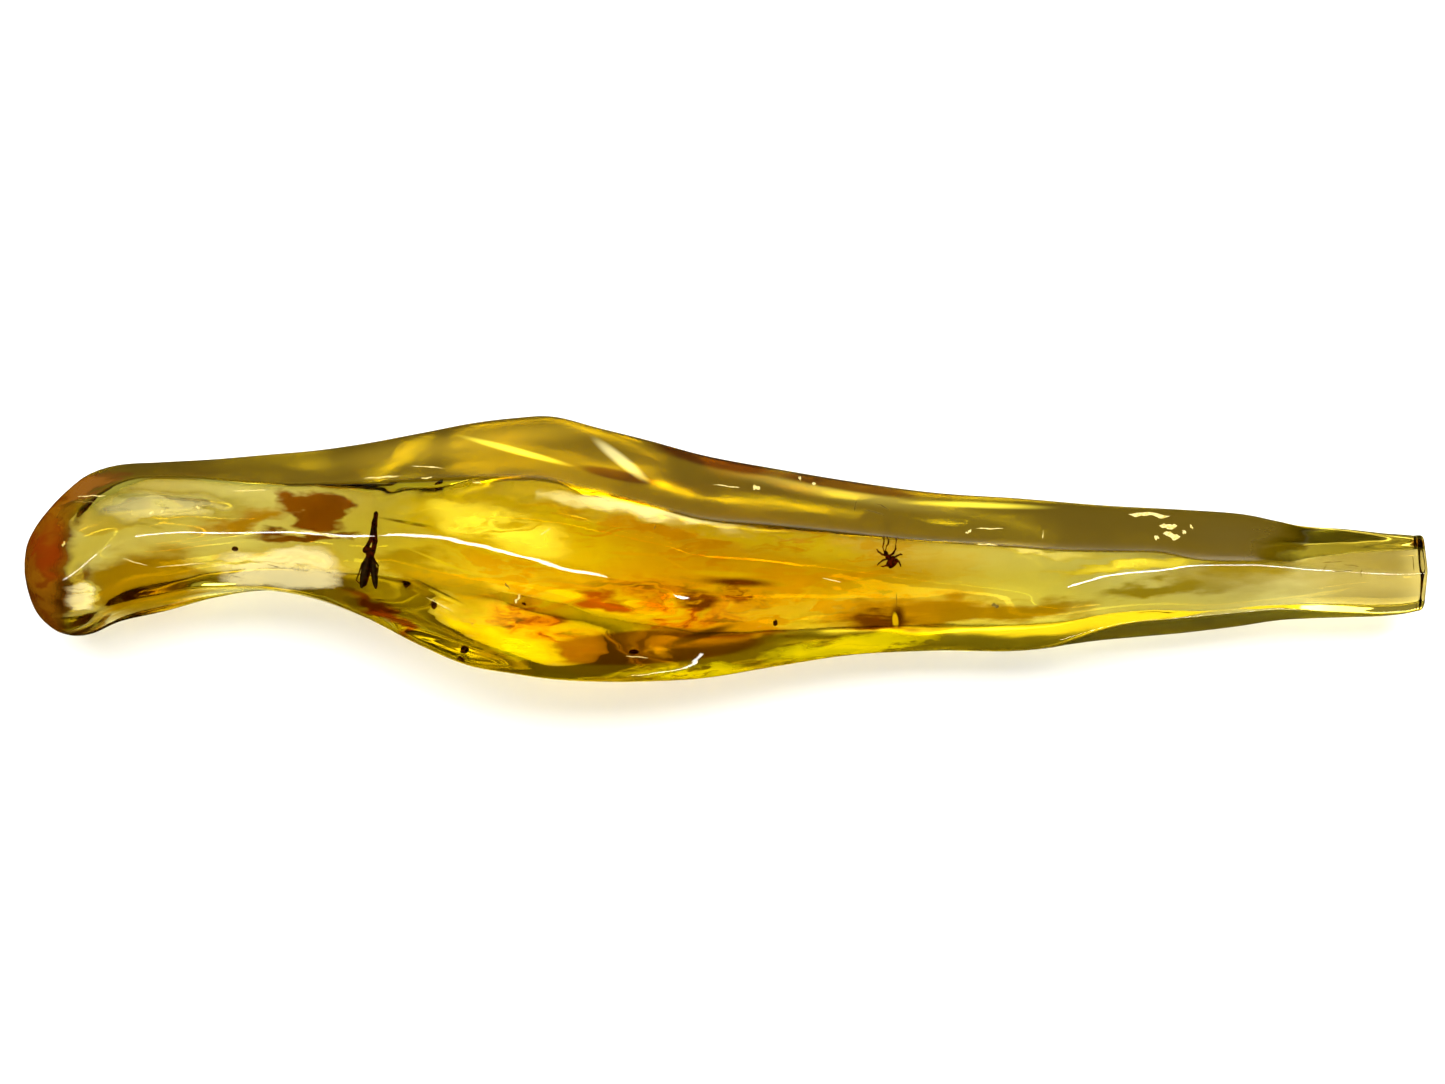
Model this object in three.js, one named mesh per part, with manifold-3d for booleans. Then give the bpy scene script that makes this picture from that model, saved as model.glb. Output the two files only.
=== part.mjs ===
// A hand-polished finger of clear golden copal with two insects and crumbs of bark sealed in it.
// It lies on the flat ground on its underside. Millimetres, +Z up, +X towards the narrow cut tip,
// +Y towards the far edge. The origin is on the table, below the middle of the piece.
// The clear solid is parted on a level plane, so that each thing sealed in it has an open pocket.
import * as THREE from "three";
import { mergeVertices } from "three/addons/utils/BufferGeometryUtils.js";
import Module from "manifold-3d";

const wasm = await Module();
wasm.setup();

// Driving dimensions
const LENGTH = 100;
const PARTING_HEIGHT = 5.8;
const PARTING_GAP = 0.3;
const POCKET_CLEARANCE = 0.3;
const SECTION_SIDES = 32;
const ROWS_PER_STATION = 2;

// Stations along the stone: X, far edge Y, near edge Y, crest Z, underside Z.
// The first is the rounded end's tip and the last the middle of the cut end.
const STATIONS = [
  [-50.0, -1.2, -1.2, 5.4, 5.4],
  [-49.8, 0.2, -2.7, 6.9, 4.0],
  [-49.2, 1.4, -4.3, 8.1, 2.8],
  [-48.3, 2.6, -5.4, 9.1, 1.9],
  [-47.0, 4.0, -6.2, 9.8, 1.3],
  [-45.4, 5.3, -6.1, 10.2, 1.0],
  [-43.3, 6.0, -5.2, 10.2, 1.0],
  [-40.2, 6.2, -4.5, 9.9, 1.2],
  [-36.5, 6.4, -3.5, 9.6, 1.3],
  [-32.8, 6.7, -3.0, 9.7, 1.2],
  [-29.3, 7.0, -3.5, 10.2, 0.8],
  [-25.6, 7.5, -4.8, 11.1, 0.3],
  [-21.8, 8.2, -6.7, 12.1, -0.1],
  [-18.2, 8.9, -8.2, 12.8, -0.3],
  [-15.0, 9.3, -8.8, 13.1, -0.4],
  [-12.2, 9.4, -9.2, 13.2, -0.4],
  [-9.0, 8.6, -9.4, 13.0, -0.4],
  [-5.4, 7.7, -9.4, 12.6, -0.4],
  [-1.3, 6.6, -9.2, 12.0, -0.4],
  [3.6, 5.7, -8.4, 11.3, -0.35],
  [9.0, 4.8, -7.6, 10.6, -0.25],
  [15.0, 4.0, -7.3, 9.9, -0.1],
  [21.0, 3.6, -7.3, 9.3, 0.2],
  [27.0, 3.1, -6.6, 8.8, 0.6],
  [32.6, 2.8, -6.1, 8.4, 0.9],
  [36.8, 2.5, -5.6, 8.0, 1.2],
  [39.4, 2.0, -5.2, 7.7, 1.4],
  [41.4, 1.6, -5.05, 7.4, 1.6],
  [44.4, 1.4, -4.95, 7.2, 1.7],
  [47.2, 1.1, -4.85, 7.1, 1.8],
  [49.2, 0.95, -4.6, 7.0, 1.9],
  [50.0, 0.7, -4.1, 6.7, 2.2],
  [50.0, -1.7, -1.7, 4.45, 4.45],
];

// Facets rubbed round the section, each by the way it faces at the places below,
// in degrees from the far side over the crest, and by how close to the middle it is cut.
const FACET_PLACES = [-50, -41, -30, -20, -10, 0, 15, 30, 36, 50];
const FACETS = [
  { name: "far side", faces: [0, -36, -14, 0, 0, 0, 0, 0, 0, 0] },
  { name: "far slope", faces: [50, 14, 30, 40, 38, 40, 42, 46, 50, 50] },
  {
    name: "crown",
    faces: [90, 60, 87, 76, 85, 99, 105, 84, 84, 90],
    cut: [1, 1.03, 1.03, 1.045, 1.02, 0.993, 0.971, 1.12, 1.3, 1.3],
  },
  { name: "near slope", faces: [136, 112, 114, 110, 118, 138, 140, 118, 118, 125] },
  { name: "near side", faces: [180, 168, 180, 196, 186, 196, 200, 164, 164, 178] },
  {
    name: "near underside",
    faces: [225, 226, 228, 236, 232, 234, 236, 226, 222, 225],
    cut: [1, 1, 0.97, 0.88, 0.85, 0.85, 0.9, 0.95, 1, 1],
  },
  {
    name: "base",
    faces: [270, 270, 270, 270, 270, 270, 270, 270, 270, 270],
    cut: [1, 1, 0.97, 0.93, 0.92, 0.92, 0.94, 0.98, 1, 1],
  },
  {
    name: "far underside",
    faces: [312, 306, 305, 308, 309, 309, 307, 306, 306, 312],
    cut: [1, 0.85, 0.78, 0.75, 0.75, 0.74, 0.7, 0.62, 0.56, 0.9],
  },
];
const RIDGE_SHARPNESS = 22;

// Shallow thumb-wide hollows left by the polishing: X, the way each faces, half length, half spread, depth.
const HOLLOWS = [
  { x: -26, faces: 215, reach: 5.5, spread: 26, depth: 0.1 },
  { x: -14, faces: 238, reach: 4.5, spread: 20, depth: 0.07 },
  { x: -4, faces: 205, reach: 5, spread: 24, depth: 0.08 },
  { x: -7, faces: 52, reach: 5, spread: 18, depth: 0.05 },
  { x: 6, faces: 330, reach: 7, spread: 24, depth: 0.07 },
  { x: -40, faces: 300, reach: 6, spread: 30, depth: 0.08 },
  { x: 22, faces: 210, reach: 6, spread: 22, depth: 0.06 },
];

const radians = THREE.MathUtils.degToRad;

// The stations as smooth curves that share their spacing along X
const smooth = (points) => new THREE.CatmullRomCurve3(points, false, "catmullrom", 0.5);
const edges = smooth(STATIONS.map(([x, far, near]) => new THREE.Vector3(x, far, near)));
const heights = smooth(STATIONS.map(([x, , , crest, under]) => new THREE.Vector3(x, crest, under)));

// A facet's value at x, eased between the places where it is given
function along(values, x) {
  const last = FACET_PLACES.length - 2;
  const after = FACET_PLACES.findIndex((place) => place > x);
  const i = after < 0 ? last : Math.max(after - 1, 0);
  const share = THREE.MathUtils.smoothstep(x, FACET_PLACES[i], FACET_PLACES[i + 1]);
  return THREE.MathUtils.lerp(values[i], values[i + 1], share);
}

// Distance from the middle to the faceted surface at x in one direction, for a stone of unit size
function reach(x, angle) {
  let sum = 0;
  for (const facet of FACETS) {
    const towards = Math.cos(angle - radians(along(facet.faces, x)));
    const cut = facet.cut ? along(facet.cut, x) : 1;
    sum += Math.max(towards / cut, 0) ** RIDGE_SHARPNESS;
  }
  let distance = sum ** (-1 / RIDGE_SHARPNESS);
  for (const hollow of HOLLOWS) {
    const aside = Math.atan2(Math.sin(angle - radians(hollow.faces)), Math.cos(angle - radians(hollow.faces)));
    const away = ((x - hollow.x) / hollow.reach) ** 2 + (aside / radians(hollow.spread)) ** 2;
    distance *= 1 - hollow.depth * Math.exp(-away);
  }
  return distance;
}

// One ring of the stone's surface: the faceted section stretched to fill the width and height there
function ring(share) {
  const { x, y: far, z: near } = edges.getPoint(share);
  const { y: crest, z: under } = heights.getPoint(share);
  const section = [];
  for (let i = 0; i < SECTION_SIDES; i++) {
    const angle = (2 * Math.PI * i) / SECTION_SIDES;
    const distance = reach(x, angle);
    section.push([distance * Math.cos(angle), distance * Math.sin(angle)]);
  }
  const across = section.map((point) => point[0]);
  const upward = section.map((point) => point[1]);
  return section.map(([y, z]) => new THREE.Vector3(
    Math.min(x, LENGTH / 2),
    THREE.MathUtils.mapLinear(y, Math.min(...across), Math.max(...across), near, far),
    Math.max(THREE.MathUtils.mapLinear(z, Math.min(...upward), Math.max(...upward), under, crest), 0),
  ));
}

// The whole stone, a sphere's grid with each row moved to a ring, and ground flat at Z 0
function stoneGeometry() {
  const rows = (STATIONS.length - 1) * ROWS_PER_STATION;
  const geometry = new THREE.SphereGeometry(1, SECTION_SIDES, rows);
  const position = geometry.getAttribute("position");
  for (let row = 0; row <= rows; row++) {
    const points = ring(row / rows);
    for (let i = 0; i <= SECTION_SIDES; i++) {
      const point = points[i % SECTION_SIDES];
      position.setXYZ(row * (SECTION_SIDES + 1) + i, point.x, point.y, point.z);
    }
  }
  return geometry;
}

// A closed geometry as a solid, turned face out if its grid ran the other way
function solid(geometry) {
  const bare = geometry.clone();
  bare.deleteAttribute("normal");
  bare.deleteAttribute("uv");
  const merged = mergeVertices(bare, 1e-4);
  const triVerts = new Uint32Array(merged.index.array);
  const vertProperties = merged.getAttribute("position").array;
  const made = new wasm.Manifold(new wasm.Mesh({ numProp: 3, vertProperties, triVerts }));
  if (made.volume() > 0) return made;
  for (let i = 0; i < triVerts.length; i += 3) {
    [triVerts[i + 1], triVerts[i + 2]] = [triVerts[i + 2], triVerts[i + 1]];
  }
  return new wasm.Manifold(new wasm.Mesh({ numProp: 3, vertProperties, triVerts }));
}

// A solid as a geometry that three.js can draw
function geometryOf(made) {
  const { vertProperties, triVerts } = made.getMesh();
  const geometry = new THREE.BufferGeometry();
  geometry.setAttribute("position", new THREE.BufferAttribute(new Float32Array(vertProperties), 3));
  geometry.setIndex(new THREE.BufferAttribute(new Uint32Array(triVerts), 1));
  geometry.computeVertexNormals();
  return geometry;
}

const joined = (solids) => solids.reduce((whole, piece) => whole.add(piece));

// An egg-shaped lump of a body: its middle, its half sizes and its turn about Z in degrees
function lump(middle, halves, turn = 0, sides = 10) {
  const geometry = new THREE.SphereGeometry(1, sides, Math.round(sides * 0.6));
  geometry.scale(...halves);
  geometry.rotateZ(radians(turn));
  geometry.translate(...middle);
  return solid(geometry);
}

// A leg, feeler or stalk: straight round-ended lengths from joint to joint
function limb(joints, radius) {
  const lengths = joints.slice(1).map((end, i) => {
    const from = new THREE.Vector3(...joints[i]);
    const way = new THREE.Vector3(...end).sub(from);
    const geometry = new THREE.CapsuleGeometry(radius, way.length(), 1, 5);
    geometry.applyQuaternion(new THREE.Quaternion().setFromUnitVectors(THREE.Object3D.DEFAULT_UP,
      way.clone().normalize()));
    geometry.translate(...from.addScaledVector(way, 0.5).toArray());
    return solid(geometry);
  });
  return joined(lengths);
}

// Winged gnat: it hangs head up with its forelegs and feelers stretched out in one dark stalk,
// its wings folded down over the long abdomen, and one hind leg bent out to the side.
const GNAT_PLACE = new THREE.Vector3(-24.7, 0.25, PARTING_HEIGHT);
const GNAT_POCKET = { middle: [-0.2, -0.3, 0], halves: [1.5, 3.4, 1.0] };
function gnatSolid() {
  return joined([
    lump([0, 0, 0], [0.36, 0.44, 0.34]),
    lump([-0.36, 0.2, 0.02], [0.25, 0.21, 0.22]),
    lump([-0.22, -1.2, 0], [0.3, 1.25, 0.27], -13),
    lump([-0.4, -1.7, 0.18], [0.24, 1.1, 0.07], -17),
    lump([0.28, -1.45, 0.12], [0.2, 1.2, 0.06], 4),
    limb([[0.18, 0.1, 0.05], [0.3, 0.7, 0.1], [0.4, 2.0, 0.1]], 0.13),
    limb([[0.25, 0.1, -0.05], [0.45, 0.75, -0.05], [0.52, 1.95, 0]], 0.11),
    limb([[-0.25, -0.25, 0.1], [-0.62, -0.75, 0.3], [-1.08, -1.95, 0.1], [-0.68, -2.35, 0]], 0.08),
    limb([[0.2, -0.2, -0.2], [0.6, -0.8, -0.4], [0.5, -1.7, -0.5]], 0.07),
    limb([[-0.15, -0.2, -0.25], [-0.5, -0.7, -0.5], [-0.55, -1.5, -0.6]], 0.07),
  ]);
}

// Small beetle, legs spread, seen from above and half turned
const BEETLE_PLACE = new THREE.Vector3(11.5, -0.35, PARTING_HEIGHT);
const BEETLE_POCKET = { middle: [0, 0, 0], halves: [1.35, 1.2, 0.85] };
function beetleSolid() {
  return joined([
    lump([0.22, -0.3, 0], [0.42, 0.3, 0.27], -38),
    lump([-0.05, 0.08, 0.02], [0.27, 0.25, 0.23], -38),
    lump([-0.24, 0.36, 0.02], [0.19, 0.17, 0.17]),
    limb([[-0.1, 0.2, 0], [-0.5, 0.28, 0.2], [-0.86, 0.52, 0]], 0.055),
    limb([[-0.1, 0, 0], [-0.45, -0.12, 0.2], [-0.82, -0.42, 0]], 0.055),
    limb([[0.05, -0.25, 0], [-0.2, -0.52, 0.2], [-0.52, -0.6, 0]], 0.055),
    limb([[0.02, 0.2, 0], [0.3, 0.36, 0.2], [0.5, 0.66, 0]], 0.055),
    limb([[0.15, 0, 0], [0.5, 0.15, 0.2], [0.88, 0.32, 0]], 0.055),
    limb([[0.35, -0.15, 0], [0.68, -0.2, 0.2], [0.84, -0.52, 0]], 0.055),
    limb([[-0.28, 0.46, 0.02], [-0.2, 0.72, 0.06], [0.02, 0.86, 0.06]], 0.04),
    limb([[-0.36, 0.44, 0.02], [-0.46, 0.7, 0.06], [-0.38, 0.88, 0.06]], 0.04),
  ]);
}

// Crumbs of bark and frass: place, half sizes and turn about Z in degrees
const CRUMBS = [
  { name: "bark_crumb_neck", place: [-34.8, 0.4], halves: [0.34, 0.18, 0.2], turn: 20 },
  { name: "bark_crumb_shoulder", place: [-19.7, 6.9], halves: [0.52, 0.2, 0.22], turn: 12 },
  { name: "bark_crumb_crest", place: [-12.1, 8.2], halves: [0.26, 0.28, 0.24], turn: 40 },
  { name: "bark_crumb_rim", place: [-18.2, -6.6], halves: [0.4, 0.26, 0.24], turn: -38 },
  { name: "bark_crumb_seed", place: [-6.8, -6.5], halves: [0.48, 0.2, 0.22], turn: 14 },
  { name: "bark_crumb_belly", place: [-20.2, -3.4], halves: [0.5, 0.17, 0.18], turn: -62 },
  { name: "bark_crumb_middle", place: [3.3, -4.2], halves: [0.22, 0.24, 0.2], turn: 0 },
];
const CRUMB_SKEW = 0.22;

// A broken crumb: a twelve-sided lump whose corners are pushed in or out in turn
function crumbSolid({ halves, turn }) {
  const geometry = new THREE.IcosahedronGeometry(1, 0);
  const position = geometry.getAttribute("position");
  for (let i = 0; i < position.count; i++) {
    const corner = new THREE.Vector3().fromBufferAttribute(position, i);
    corner.multiplyScalar(1 - CRUMB_SKEW * (0.5 + 0.5 * Math.sin(5 * corner.x + 9 * corner.y + 3 * corner.z)));
    position.setXYZ(i, ...corner.toArray());
  }
  geometry.scale(...halves);
  geometry.rotateZ(radians(turn));
  return solid(geometry);
}

// The pocket round a crumb, a little larger than its longest half size
function crumbPocket({ place, halves }) {
  const radius = Math.max(...halves) + POCKET_CLEARANCE;
  return lump([...place, PARTING_HEIGHT], [radius, radius, halves[2] + POCKET_CLEARANCE], 0, 8);
}

// The pocket round an insect
function insectPocket(place, { middle, halves }) {
  return lump(place.clone().add(new THREE.Vector3(...middle)).toArray(), halves, 0, 16);
}

// A level slab over the whole stone, from one height to another
function slab(from, to) {
  const geometry = new THREE.BoxGeometry(LENGTH * 1.2, LENGTH * 0.5, to - from);
  geometry.translate(0, 0, (from + to) / 2);
  return solid(geometry);
}

const pockets = joined([
  insectPocket(GNAT_PLACE, GNAT_POCKET),
  insectPocket(BEETLE_PLACE, BEETLE_POCKET),
  ...CRUMBS.map(crumbPocket),
]);
const hollowed = solid(stoneGeometry()).subtract(pockets);
const upper = hollowed.intersect(slab(PARTING_HEIGHT + PARTING_GAP / 2, LENGTH));
const lower = hollowed.intersect(slab(-1, PARTING_HEIGHT - PARTING_GAP / 2));

const copal = new THREE.MeshStandardMaterial({
  color: "#d9a514", roughness: 0.06, metalness: 0, transparent: true, opacity: 0.6,
});
const cuticle = new THREE.MeshStandardMaterial({ color: "#2a0d05", roughness: 0.45, metalness: 0 });
const beetleShell = new THREE.MeshStandardMaterial({ color: "#4a1608", roughness: 0.4, metalness: 0 });
const bark = new THREE.MeshStandardMaterial({ color: "#34160a", roughness: 0.85, metalness: 0 });

const stone = new THREE.Group();

function addPiece(name, made, material, place = new THREE.Vector3()) {
  const mesh = new THREE.Mesh(geometryOf(made), material);
  mesh.name = name;
  mesh.position.copy(place);
  stone.add(mesh);
}

addPiece("copal_upper", upper, copal);
addPiece("copal_lower", lower, copal);
addPiece("winged_gnat", gnatSolid(), cuticle, GNAT_PLACE);
addPiece("small_beetle", beetleSolid(), beetleShell, BEETLE_PLACE);
for (const crumb of CRUMBS) {
  const place = new THREE.Vector3(...crumb.place, PARTING_HEIGHT);
  addPiece(crumb.name, crumbSolid(crumb), bark, place);
}

export default stone;
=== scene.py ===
# A hand-polished finger of golden copal, the young resin of a tropical tree, with a gnat, a small
# beetle and crumbs of bark sealed in it. It lies on a pale table and is seen from straight above.
import math

import bmesh
import bpy
from mathutils import Matrix, Vector, noise
from mathutils.bvhtree import BVHTree


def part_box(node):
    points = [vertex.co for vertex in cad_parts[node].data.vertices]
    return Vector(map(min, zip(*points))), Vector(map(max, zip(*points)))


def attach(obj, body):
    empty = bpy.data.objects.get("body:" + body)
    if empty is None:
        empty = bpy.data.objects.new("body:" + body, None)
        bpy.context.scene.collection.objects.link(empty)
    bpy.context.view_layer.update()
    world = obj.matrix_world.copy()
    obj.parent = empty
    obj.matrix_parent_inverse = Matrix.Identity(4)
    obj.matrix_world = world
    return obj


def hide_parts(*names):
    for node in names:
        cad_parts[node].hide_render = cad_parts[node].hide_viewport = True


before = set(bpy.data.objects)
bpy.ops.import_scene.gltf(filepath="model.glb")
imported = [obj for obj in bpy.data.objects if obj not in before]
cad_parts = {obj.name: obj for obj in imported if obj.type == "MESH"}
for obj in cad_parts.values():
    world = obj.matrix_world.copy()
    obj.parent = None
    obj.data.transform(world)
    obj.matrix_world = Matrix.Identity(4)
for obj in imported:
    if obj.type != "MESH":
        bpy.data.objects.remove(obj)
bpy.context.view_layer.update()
MM = 0.001


# The table and the camera. The stone lies on matt white card, under a camera that looks straight
# down through a long lens, so that its whole length shows with the same scale. The gloss of the
# stone mirrors neither the card nor the studio round it.
def linear(hex_colour):
    channels = [int(hex_colour[i:i + 2], 16) / 255 for i in (1, 3, 5)]
    curve = [c / 12.92 if c <= 0.04045 else ((c + 0.055) / 1.055) ** 2.4 for c in channels]
    return (*curve, 1)


def add(nodes, kind, links=None, **settings):
    """Adds a node. Settings are properties or socket values, links are sockets joined to its inputs."""
    node = nodes.new(kind)
    for name, value in settings.items():
        if hasattr(node, name):
            setattr(node, name, value)
        else:
            node.inputs[name.replace("_", " ")].default_value = value
    for name, source in (links or {}).items():
        node.id_data.links.new(source, node.inputs[name])
    return node


def new_material(name):
    material = bpy.data.materials.new(name)
    material.use_nodes = True
    material.node_tree.nodes.clear()
    return material, material.node_tree.nodes


def finished(mesh_data, name, material):
    """Puts a bmesh into a new object at the origin, smooth, with one material."""
    mesh = bpy.data.meshes.new(name)
    mesh_data.to_mesh(mesh)
    mesh_data.free()
    mesh.materials.append(material)
    mesh.shade_smooth()
    piece = bpy.data.objects.new(name, mesh)
    bpy.context.scene.collection.objects.link(piece)
    return piece


TABLE_SIZE = 3.0
TABLE_BELOW = 0.02 * MM
PHOTO_WIDTH = 103.4 * MM
CAMERA_HEIGHT = 300 * MM
STONE_MIDDLE_HEIGHT = 5 * MM
SENSOR_WIDTH = 36.0
STONE_OFF_CENTRE = (0.18 * MM, -0.47 * MM)

card, nodes = new_material("white_card")
grain = add(nodes, "ShaderNodeTexNoise", Scale=900.0, Detail=3.0)
fibres = add(nodes, "ShaderNodeBump", {"Height": grain.outputs["Fac"]}, Strength=0.05, Distance=0.0001)
paper = add(nodes, "ShaderNodeBsdfPrincipled", {"Normal": fibres.outputs["Normal"]},
            Base_Color=linear("#f4f3f0"), Roughness=0.9)
add(nodes, "ShaderNodeOutputMaterial", {"Surface": paper.outputs["BSDF"]})
sheet = bmesh.new()
bmesh.ops.create_grid(sheet, x_segments=1, y_segments=1, size=TABLE_SIZE / 2)
bmesh.ops.translate(sheet, verts=sheet.verts, vec=(0, 0, -TABLE_BELOW))
table = finished(sheet, "table", card)
table.visible_glossy = False

lens = SENSOR_WIDTH * CAMERA_HEIGHT / PHOTO_WIDTH
camera = bpy.data.objects.new("camera", bpy.data.cameras.new("camera"))
camera.data.lens = lens
camera.data.sensor_width = SENSOR_WIDTH
camera.location = (-STONE_OFF_CENTRE[0], -STONE_OFF_CENTRE[1], CAMERA_HEIGHT + STONE_MIDDLE_HEIGHT)
bpy.context.scene.collection.objects.link(camera)
bpy.context.scene.camera = camera


# The light. A broad soft box overhead lights the card, which shines back up through the stone.
# Three narrow strips, the only lamps that its gloss mirrors, draw the white lines along the ridges.
STUDIO_GLOW = 0.48


def soft_box(name, place, size, power):
    """A lamp, in metres and watts, that leans only across the stone, so that it lies along it."""
    lamp = bpy.data.lights.new(name, "AREA")
    lamp.shape = "RECTANGLE"
    lamp.size, lamp.size_y = size
    lamp.energy = power
    box = bpy.data.objects.new(name, lamp)
    box.location = place
    box.rotation_euler = (-math.atan2(place[1], place[2]), 0, 0)
    box.visible_camera = False
    bpy.context.scene.collection.objects.link(box)
    return box


overhead = soft_box("overhead", (0, 0.45, 0.7), (1.2, 0.6), 17.5)
overhead.visible_glossy = False
soft_box("shoulder_strip", (-0.175, -0.18, 0.5), (0.42, 0.034), 1.1)
soft_box("tail_strip", (0.092, -0.063, 0.15), (0.05, 0.009), 0.06)
soft_box("near_edge_strip", (0.235, -0.6, 0.05), (0.14, 0.016), 0.12)

world = bpy.data.worlds.new("studio")
world.use_nodes = True
walls = world.node_tree.nodes["Background"]
walls.inputs["Color"].default_value = linear("#f2f2ee")
walls.inputs["Strength"].default_value = STUDIO_GLOW
world.cycles_visibility.glossy = False
bpy.context.scene.world = world

view = bpy.context.scene.view_settings
view.view_transform = "Standard"
tracing = bpy.context.scene.cycles
tracing.use_denoising = True
tracing.max_bounces = 14
tracing.diffuse_bounces = 2
tracing.transmission_bounces = 14
tracing.glossy_bounces = 5


# The copal. One piece of clear golden resin that ran down a branch and set, cut off at its thin end,
# rubbed to broad soft facets on wet cloth and polished. Its round end keeps a brown weathered crust.
# Its far slope and lower edge carry painted shade, a dull olive darkening, and a slightly hazy gloss.
HALF_LENGTH = 50.0
# Each station: x, far edge, near edge, height of the crest and of the underside, in millimetres.
STATIONS = [
    (-50.0, -1.2, -1.2, 5.4, 5.4),
    (-49.8, 0.2, -2.7, 6.9, 4.0),
    (-49.2, 1.4, -4.3, 8.1, 2.8),
    (-48.3, 2.6, -5.4, 9.1, 1.9),
    (-47.0, 4.0, -6.2, 9.8, 1.3),
    (-45.4, 5.3, -6.1, 10.2, 1.0),
    (-43.3, 6.0, -5.2, 10.2, 1.0),
    (-40.2, 6.2, -4.5, 9.9, 1.2),
    (-36.5, 6.4, -3.5, 9.6, 1.3),
    (-32.8, 6.7, -3.0, 9.7, 1.2),
    (-29.3, 7.0, -3.5, 10.2, 0.8),
    (-25.6, 7.5, -4.8, 11.1, 0.3),
    (-21.8, 8.2, -6.7, 12.1, -0.1),
    (-18.2, 8.9, -8.2, 12.8, -0.3),
    (-15.0, 9.3, -8.8, 13.1, -0.4),
    (-12.2, 9.4, -9.2, 13.2, -0.4),
    (-9.0, 8.6, -9.4, 13.0, -0.4),
    (-5.4, 7.7, -9.4, 12.6, -0.4),
    (-1.3, 6.6, -9.2, 12.0, -0.4),
    (3.6, 5.7, -8.4, 11.3, -0.35),
    (9.0, 4.8, -7.6, 10.6, -0.25),
    (15.0, 4.0, -7.3, 9.9, -0.1),
    (21.0, 3.6, -7.3, 9.3, 0.2),
    (27.0, 3.1, -6.6, 8.8, 0.6),
    (32.6, 2.8, -6.1, 8.4, 0.9),
    (36.8, 2.5, -5.6, 8.0, 1.2),
    (39.4, 2.0, -5.2, 7.7, 1.4),
    (41.4, 1.6, -5.05, 7.4, 1.6),
    (44.4, 1.4, -4.95, 7.2, 1.7),
    (47.2, 1.1, -4.85, 7.1, 1.8),
    (49.2, 0.95, -4.6, 7.0, 1.9),
    (50.0, 0.7, -4.1, 6.7, 2.2),
    (50.0, -1.7, -1.7, 4.45, 4.45),
]
# Each facet: the way it faces round the stone, in degrees from the far side over the crest, and how
# far out it is cut, both at each of these x.
FACET_PLACES = [-50, -41, -30, -20, -10, 0, 15, 30, 36, 50]
ALWAYS = [1] * 10
FACETS = [
    ([0, -36, -14, 0, 0, 0, 0, 0, 0, 0], ALWAYS),
    ([50, 14, 30, 40, 38, 40, 42, 46, 50, 50], ALWAYS),
    ([90, 60, 87, 76, 85, 99, 105, 84, 84, 90],
     [1, 1.03, 1.03, 1.045, 1.02, 0.993, 0.971, 1.12, 1.3, 1.3]),
    ([136, 112, 114, 110, 118, 138, 140, 118, 118, 125], ALWAYS),
    ([180, 168, 180, 196, 186, 196, 200, 164, 164, 178], ALWAYS),
    ([225, 226, 228, 236, 232, 234, 236, 226, 222, 225],
     [1, 1, 0.97, 0.88, 0.85, 0.85, 0.9, 0.95, 1, 1]),
    ([270] * 10,
     [1, 1, 0.97, 0.93, 0.92, 0.92, 0.94, 0.98, 1, 1]),
    ([312, 306, 305, 308, 309, 309, 307, 306, 306, 312],
     [1, 0.85, 0.78, 0.75, 0.75, 0.74, 0.7, 0.62, 0.56, 0.9]),
]
SHOWN_FACETS = {"far_slope": (0, 1), "near_side": (4,)}
RIDGE_SHARPNESS = 22
# Each hollow: its x, the way it faces, its length, its spread in degrees, and its share of the reach.
HOLLOWS = [
    (-26, 215, 5.5, 26, 0.1),
    (-14, 238, 4.5, 20, 0.07),
    (-4, 205, 5, 24, 0.08),
    (-7, 52, 5, 18, 0.05),
    (6, 330, 7, 24, 0.07),
    (-40, 300, 6, 30, 0.08),
    (22, 210, 6, 22, 0.06),
]
GIRTH_STEPS = 128
LENGTH_STEPS = 320


def smoothstep(low, high, value):
    share = min(max((value - low) / (high - low), 0), 1)
    return share * share * (3 - 2 * share)


def through(points, share):
    """The smooth curve through the stations, evenly stepped from one to the next."""
    last = len(points) - 1
    place = share * last
    i = min(int(place), last - 1)
    t = place - i
    after, ahead = points[i], points[i + 1]
    before = points[i - 1] if i > 0 else [2 * a - b for a, b in zip(after, ahead)]
    beyond = points[i + 2] if i + 2 <= last else [2 * b - a for a, b in zip(after, ahead)]
    curve = []
    for p0, p1, p2, p3 in zip(before, after, ahead, beyond):
        slope_in, slope_out = (p2 - p0) / 2, (p3 - p1) / 2
        bend = (2 * p1 - 2 * p2 + slope_in + slope_out) * t ** 3
        curve.append(bend + (3 * p2 - 3 * p1 - 2 * slope_in - slope_out) * t ** 2 + slope_in * t + p1)
    return curve


def along(values, x):
    """A facet's value at x, eased between the places where it is given."""
    i = max(j for j, place in enumerate(FACET_PLACES[:-1]) if place <= max(x, FACET_PLACES[0]))
    share = smoothstep(FACET_PLACES[i], FACET_PLACES[i + 1], x)
    return values[i] + (values[i + 1] - values[i]) * share


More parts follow.
